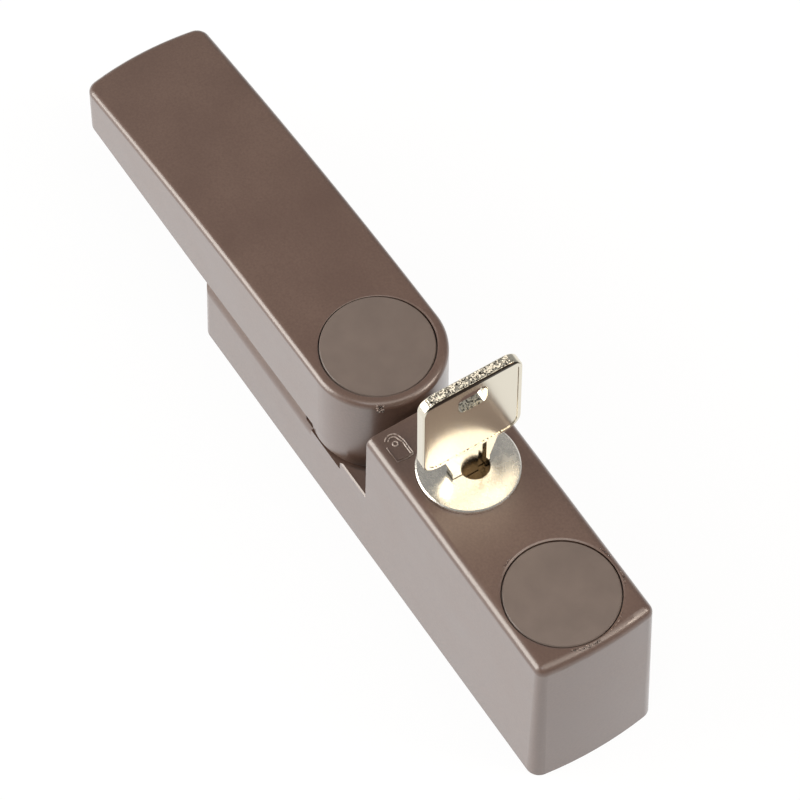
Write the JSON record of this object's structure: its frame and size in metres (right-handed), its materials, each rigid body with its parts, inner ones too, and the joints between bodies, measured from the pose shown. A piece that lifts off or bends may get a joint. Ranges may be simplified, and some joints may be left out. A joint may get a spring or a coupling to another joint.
{
  "type": "window lock",
  "caption": "Surface-mounted swing-arm window lock: cast body with a key cylinder whose bolt locks a pivoting arm that swings over the window sash.",
  "frame": {"origin": "on the mounting face, on the swing axis of the arm", "axes": "+X along the body from the swing axis towards the lock end, +Y across the body to the side over which the arm swings, +Z out of the mounting face"},
  "size_m": [0.1631, 0.027, 0.0719],
  "materials": {
    "brown_casting": "satin",
    "brown_plastic": "satin",
    "nickel_plate": "satin",
    "brass": "satin",
    "steel": "satin",
    "white_plastic": "satin"
  },
  "bodies": {
    "body": {"lock_body": "brown_casting", "body_cap": "brown_plastic", "cylinder_barrel": "brass", "barrel_retaining_pin": "steel", "pivot_bolt": "steel", "pivot_washer": "steel", "pivot_disc_spring": "steel", "glide_ring": "white_plastic", "stop_pin": "steel"},
    "arm": {"swing_arm": "brown_casting", "arm_cap": "brown_plastic", "pivot_bush": "brass", "strike_plate_1": "steel", "strike_plate_2": "steel", "strike_plate_3": "steel", "strike_plate_4": "steel"},
    "plug": {"cylinder_plug": "nickel_plate", "cam_driver": "steel", "cam_pin": "steel", "cam_screw": "steel", "wafer_1": "brass", "wafer_2": "brass", "wafer_3": "brass", "wafer_4": "brass", "wafer_5": "brass", "wafer_spring_1": "steel", "wafer_spring_2": "steel", "wafer_spring_3": "steel", "wafer_spring_4": "steel", "wafer_spring_5": "steel"},
    "bolt": {"locking_bolt": "steel", "bolt_slide_plate": "steel", "bolt_dowel": "steel"},
    "key": {"key": "nickel_plate"}
  },
  "joints": [
    {"name": "arm_swing", "type": "hinge", "parent": "body", "child": "arm", "pos_m": [0, 0, 0.0295], "axis": [0, 0, 1], "range_deg": [-90, 0]},
    {"name": "key_turn", "type": "hinge", "parent": "body", "child": "plug", "pos_m": [0.03124, 0, 0.04], "axis": [0, 0, 1], "range_deg": [0, 90]},
    {"name": "bolt_slide", "type": "slide", "parent": "body", "child": "bolt", "axis": [-1, 0, 0], "range_m": [0, 0.00636]},
    {"name": "key_withdraw", "type": "slide", "parent": "plug", "child": "key", "axis": [0, 0, 1], "range_m": [0, 0.018]}
  ],
  "couplings": [
    {"joint": "key_turn", "follows": "bolt_slide", "rad_per_m": 246.82}
  ]
}
